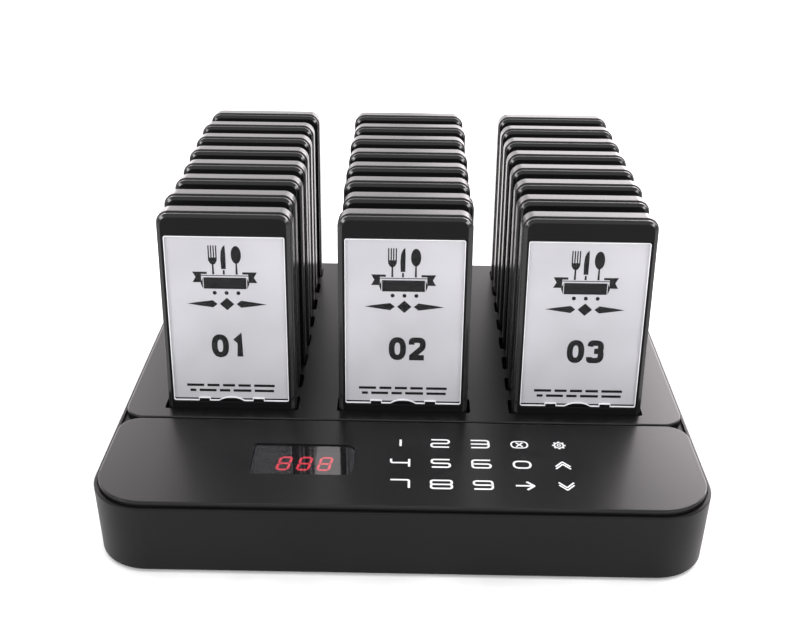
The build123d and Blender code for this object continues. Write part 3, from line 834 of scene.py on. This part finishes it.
# each legend: lines in a unit square, whether each is closed, and its corner radius in millimetres
LEGENDS = {
    "1": [([(0.5, 0.05), (0.5, 0.95)], False, 0)],
    "2": [(SNAKE, False, 1.5)],
    "3": [([(0, 1), (1, 1), (1, 0), (0, 0)], False, 1.6), ([(0, 0.5), (1, 0.5)], False, 0)],
    "4": [([(0, 1), (0, 0.5), (1, 0.5)], False, 1.0), ([(1, 1), (1, 0)], False, 0)],
    "5": [([(1 - x, y) for x, y in SNAKE], False, 1.5)],
    "6": [([(1, 1), (0, 1), (0, 0), (1, 0), (1, 0.5), (0, 0.5)], False, 1.5)],
    "7": [([(0, 1), (1, 1), (1, 0)], False, 0.9)],
    "8": [(UPPER_LOOP, True, 1.3), (LOWER_LOOP, True, 1.3)],
    "9": [([(1, 0.5), (0, 0.5), (0, 1), (1, 1), (1, 0), (0, 0)], False, 1.5)],
    "0": [(WHOLE_LOOP, True, 2.6)],
    "cancel": [
        (WHOLE_LOOP, True, 2.6),
        ([(0.31, 0.22), (0.69, 0.78)], False, 0),
        ([(0.31, 0.78), (0.69, 0.22)], False, 0),
    ],
    "send": [([(0, 0.5), (0.97, 0.5)], False, 0), ([(0.6, 1), (1, 0.5), (0.6, 0)], False, 0.3)],
    "up": [([(0.09, y), (0.5, y + 0.62), (0.91, y)], False, 0.2) for y in (0.33, 0.02)],
    "down": [([(0.09, y), (0.5, y - 0.62), (0.91, y)], False, 0.2) for y in (0.67, 0.98)],
}
KEYS = (("1", "2", "3", "cancel", "setup"), ("4", "5", "6", "0", "up"), ("7", "8", "9", "send", "down"))
THIN_LEGENDS = ("cancel", "up", "down")


def key_places():
    """Each key's legend and middle, from the touch springs under the keys, row by row from the back."""
    low, high = (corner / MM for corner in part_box("touch_springs"))
    across = high.x - low.x - 2 * TOUCH_SPRING_RADIUS
    deep = high.y - low.y - 2 * TOUCH_SPRING_RADIUS
    for row, keys in enumerate(KEYS):
        for column, key in enumerate(keys):
            x = low.x + TOUCH_SPRING_RADIUS + column * across / (len(keys) - 1)
            y = high.y - TOUCH_SPRING_RADIUS - row * deep / (len(KEYS) - 1)
            yield key, x, y


def make_legends():
    """White printed legends on the keypad panel."""
    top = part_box("keypad_panel")[1].z / MM
    width, height = LEGEND_SIZE
    bm = bmesh.new()
    for key, x, y in key_places():
        if key == "setup":
            gear(bm, x, y, top)
            continue
        thickness = LEGEND_STROKE * (THIN_SHARE if key in THIN_LEGENDS else 1.0)
        for layer, (points, closed, radius) in enumerate(LEGENDS[key]):
            corners = [(x + (px - 0.5) * width, y + (py - 0.5) * height) for px, py in points]
            line = softened(corners, radius, closed)
            stroke(bm, line, thickness, top, top + LEGEND_THICKNESS + layer * LAYER, closed)
    add_piece("key_legends", finished("key_legends", bm), "base", [legend_white])


def gear(bm, x, y, top):
    """The setup legend: a ring with teeth round it, and a smaller ring inside."""
    end = top + LEGEND_THICKNESS
    stroke(bm, disc(x, y, GEAR_RADIUS), GEAR_RIM, top, end, closed=True)
    stroke(bm, disc(x, y, GEAR_HUB_RADIUS, steps=14), GEAR_HUB_RIM, top, end, closed=True)
    for tooth in range(GEAR_TEETH):
        angle = 2 * pi * tooth / GEAR_TEETH
        radii = [GEAR_RADIUS + reach for reach in TOOTH_REACH]
        line = [(x + r * cos(angle), y + r * sin(angle)) for r in radii]
        stroke(bm, line, TOOTH_WIDTH, top, end)


def segment(bm, x, y, start, end, level):
    """One pointed bar of a seven-segment digit, slanted with the digit."""
    a, b = Vector(start), Vector(end)
    along = (b - a).normalized()
    across = Vector((-along.y, along.x)) * SEGMENT_WIDTH / 2
    point = along * SEGMENT_WIDTH / 2
    gap = along * SEGMENT_GAP
    outline = [a + gap, a + gap + point + across, b - gap - point + across]
    outline += [b - gap, b - gap - point - across, a + gap + point - across]
    slanted = [(x + p.x + DIGIT_SLANT * p.y, y + p.y) for p in outline]
    prism(bm, slanted, level, level + DIGIT_THICKNESS)


def make_digits():
    """Three lit seven-segment eights on the display module."""
    low, high = (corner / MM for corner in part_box("display_module"))
    half, tall = DIGIT_SIZE[0] / 2, DIGIT_SIZE[1] / 2
    bars = [((-half, h), (half, h)) for h in (-tall, 0, tall)]
    bars += [((side, h), (side, h + tall)) for side in (-half, half) for h in (-tall, 0)]
    y = (low.y + high.y) / 2 + DIGIT_SHIFT[1]
    bm = bmesh.new()
    for place in (-1, 0, 1):
        x = (low.x + high.x) / 2 + DIGIT_SHIFT[0] + place * DIGIT_PITCH
        for start, end in bars:
            segment(bm, x, y, start, end, high.z)
    add_piece("display_digits", finished("display_digits", bm), "base", [digit_red])


def make_floor():
    """A plain pale floor, very slightly uneven in shade."""
    bm = bmesh.new()
    bmesh.ops.create_grid(bm, x_segments=8, y_segments=8, size=FLOOR_HALF)
    mesh = bpy.data.meshes.new("floor")
    bm.to_mesh(mesh)
    bm.free()
    mesh.materials.append(surface("floor", (0.93, 0.93, 0.93), 0.8, grain=200.0, depth=0.0, specular=0.1))
    floor = bpy.data.objects.new("floor", mesh)
    bpy.context.scene.collection.objects.link(floor)


make_camera()
make_studio()
make_floor()
wear_record_finishes()
dress_pagers()
make_legends()
make_digits()
